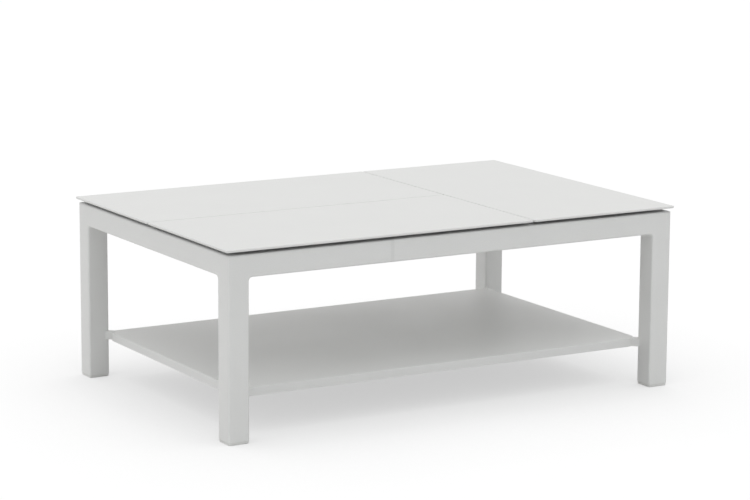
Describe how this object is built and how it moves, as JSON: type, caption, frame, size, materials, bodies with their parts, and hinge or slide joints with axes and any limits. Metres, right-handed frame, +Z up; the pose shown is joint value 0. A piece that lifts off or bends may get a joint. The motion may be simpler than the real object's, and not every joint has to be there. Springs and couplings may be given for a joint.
{
  "type": "adjustable garden table",
  "caption": "Low garden table in pale coated metal: square tube frame, hanging shelf, and a split top whose leaves lift and swing level towards the user on parallel arms.",
  "frame": {"origin": "on the floor under the middle of the top", "axes": "+X along the table towards the leaf that takes the whole depth, +Y to the rear, +Z up"},
  "size_m": [1.2, 0.8, 0.44],
  "materials": {
    "frame_coat": "fine textured powder coat",
    "plate_coat": "fine textured powder coat",
    "shelf_coat": "fine textured powder coat",
    "rail_coat": "fine textured powder coat",
    "glide_plastic": "matt",
    "rest_rubber": "matt",
    "mechanism_steel": "zinc plated",
    "bolt_steel": "satin",
    "spring_steel": "oiled wire"
  },
  "bodies": {
    "frame": {"front_left_leg": "frame_coat", "front_right_leg": "frame_coat", "rear_left_leg": "frame_coat", "rear_right_leg": "frame_coat", "front_apron": "frame_coat", "rear_apron": "frame_coat", "left_apron": "frame_coat", "right_apron": "frame_coat", "cross_rail": "frame_coat", "centre_rail": "frame_coat", "foot_glides": "glide_plastic", "shelf_tray": "shelf_coat", "shelf_ribs": "shelf_coat", "shelf_corner_lugs": "shelf_coat", "shelf_bolts": "bolt_steel", "base_screws": "bolt_steel", "arm_pivot_pins": "bolt_steel", "spring_anchors": "mechanism_steel", "leaf_rests": "rest_rubber", "front_leaf_lift_bases": "mechanism_steel", "front_leaf_lift_spring": "spring_steel", "rear_leaf_lift_bases": "mechanism_steel", "rear_leaf_lift_spring": "spring_steel", "end_leaf_lift_bases": "mechanism_steel", "end_leaf_lift_spring": "spring_steel"},
    "front_leaf_main_arms": {"front_leaf_left_main_arm": "mechanism_steel", "front_leaf_right_main_arm": "mechanism_steel", "front_leaf_cross_tube": "mechanism_steel"},
    "front_leaf_follower_arms": {"front_leaf_left_follower_arm": "mechanism_steel", "front_leaf_right_follower_arm": "mechanism_steel"},
    "front_leaf": {"front_leaf_plate": "plate_coat", "front_leaf_rails": "rail_coat", "front_leaf_left_bracket": "mechanism_steel", "front_leaf_right_bracket": "mechanism_steel", "front_leaf_pivot_pins": "bolt_steel", "front_leaf_screws": "bolt_steel"},
    "rear_leaf_main_arms": {"rear_leaf_left_main_arm": "mechanism_steel", "rear_leaf_right_main_arm": "mechanism_steel", "rear_leaf_cross_tube": "mechanism_steel"},
    "rear_leaf_follower_arms": {"rear_leaf_left_follower_arm": "mechanism_steel", "rear_leaf_right_follower_arm": "mechanism_steel"},
    "rear_leaf": {"rear_leaf_plate": "plate_coat", "rear_leaf_rails": "rail_coat", "rear_leaf_left_bracket": "mechanism_steel", "rear_leaf_right_bracket": "mechanism_steel", "rear_leaf_pivot_pins": "bolt_steel", "rear_leaf_screws": "bolt_steel"},
    "end_leaf_main_arms": {"end_leaf_left_main_arm": "mechanism_steel", "end_leaf_right_main_arm": "mechanism_steel", "end_leaf_cross_tube": "mechanism_steel"},
    "end_leaf_follower_arms": {"end_leaf_left_follower_arm": "mechanism_steel", "end_leaf_right_follower_arm": "mechanism_steel"},
    "end_leaf": {"end_leaf_plate": "plate_coat", "end_leaf_rails": "rail_coat", "end_leaf_left_bracket": "mechanism_steel", "end_leaf_right_bracket": "mechanism_steel", "end_leaf_pivot_pins": "bolt_steel", "end_leaf_screws": "bolt_steel"}
  },
  "joints": [
    {"name": "front_leaf_lift", "type": "hinge", "parent": "frame", "child": "front_leaf_main_arms", "pos_m": [-0.1785, -0.314, 0.41], "axis": [1, 0, 0], "range_deg": [0, 118], "deforming": ["front_leaf_lift_spring"]},
    {"name": "front_leaf_follower_pivot", "type": "hinge", "parent": "frame", "child": "front_leaf_follower_arms", "pos_m": [-0.1785, -0.254, 0.389], "axis": [1, 0, 0], "range_deg": [0, 118]},
    {"name": "front_leaf_level_pivot", "type": "hinge", "parent": "front_leaf_main_arms", "child": "front_leaf", "pos_m": [-0.1785, -0.096, 0.41761], "axis": [1, 0, 0], "range_deg": [-118, 0]},
    {"name": "rear_leaf_lift", "type": "hinge", "parent": "frame", "child": "rear_leaf_main_arms", "pos_m": [-0.1785, 0.314, 0.41], "axis": [-1, 0, 0], "range_deg": [0, 118], "deforming": ["rear_leaf_lift_spring"]},
    {"name": "rear_leaf_follower_pivot", "type": "hinge", "parent": "frame", "child": "rear_leaf_follower_arms", "pos_m": [-0.1785, 0.254, 0.389], "axis": [-1, 0, 0], "range_deg": [0, 118]},
    {"name": "rear_leaf_level_pivot", "type": "hinge", "parent": "rear_leaf_main_arms", "child": "rear_leaf", "pos_m": [-0.1785, 0.096, 0.41761], "axis": [-1, 0, 0], "range_deg": [-118, 0]},
    {"name": "end_leaf_lift", "type": "hinge", "parent": "frame", "child": "end_leaf_main_arms", "pos_m": [0.514, 0, 0.41], "axis": [0, 1, 0], "range_deg": [0, 118], "deforming": ["end_leaf_lift_spring"]},
    {"name": "end_leaf_follower_pivot", "type": "hinge", "parent": "frame", "child": "end_leaf_follower_arms", "pos_m": [0.454, 0, 0.389], "axis": [0, 1, 0], "range_deg": [0, 118]},
    {"name": "end_leaf_level_pivot", "type": "hinge", "parent": "end_leaf_main_arms", "child": "end_leaf", "pos_m": [0.2985, 0, 0.41752], "axis": [0, 1, 0], "range_deg": [-118, 0]}
  ],
  "couplings": [
    {"joint": "front_leaf_follower_pivot", "follows": "front_leaf_lift", "ratio": 1},
    {"joint": "front_leaf_level_pivot", "follows": "front_leaf_lift", "ratio": -1},
    {"joint": "rear_leaf_follower_pivot", "follows": "rear_leaf_lift", "ratio": 1},
    {"joint": "rear_leaf_level_pivot", "follows": "rear_leaf_lift", "ratio": -1},
    {"joint": "end_leaf_follower_pivot", "follows": "end_leaf_lift", "ratio": 1},
    {"joint": "end_leaf_level_pivot", "follows": "end_leaf_lift", "ratio": -1}
  ]
}
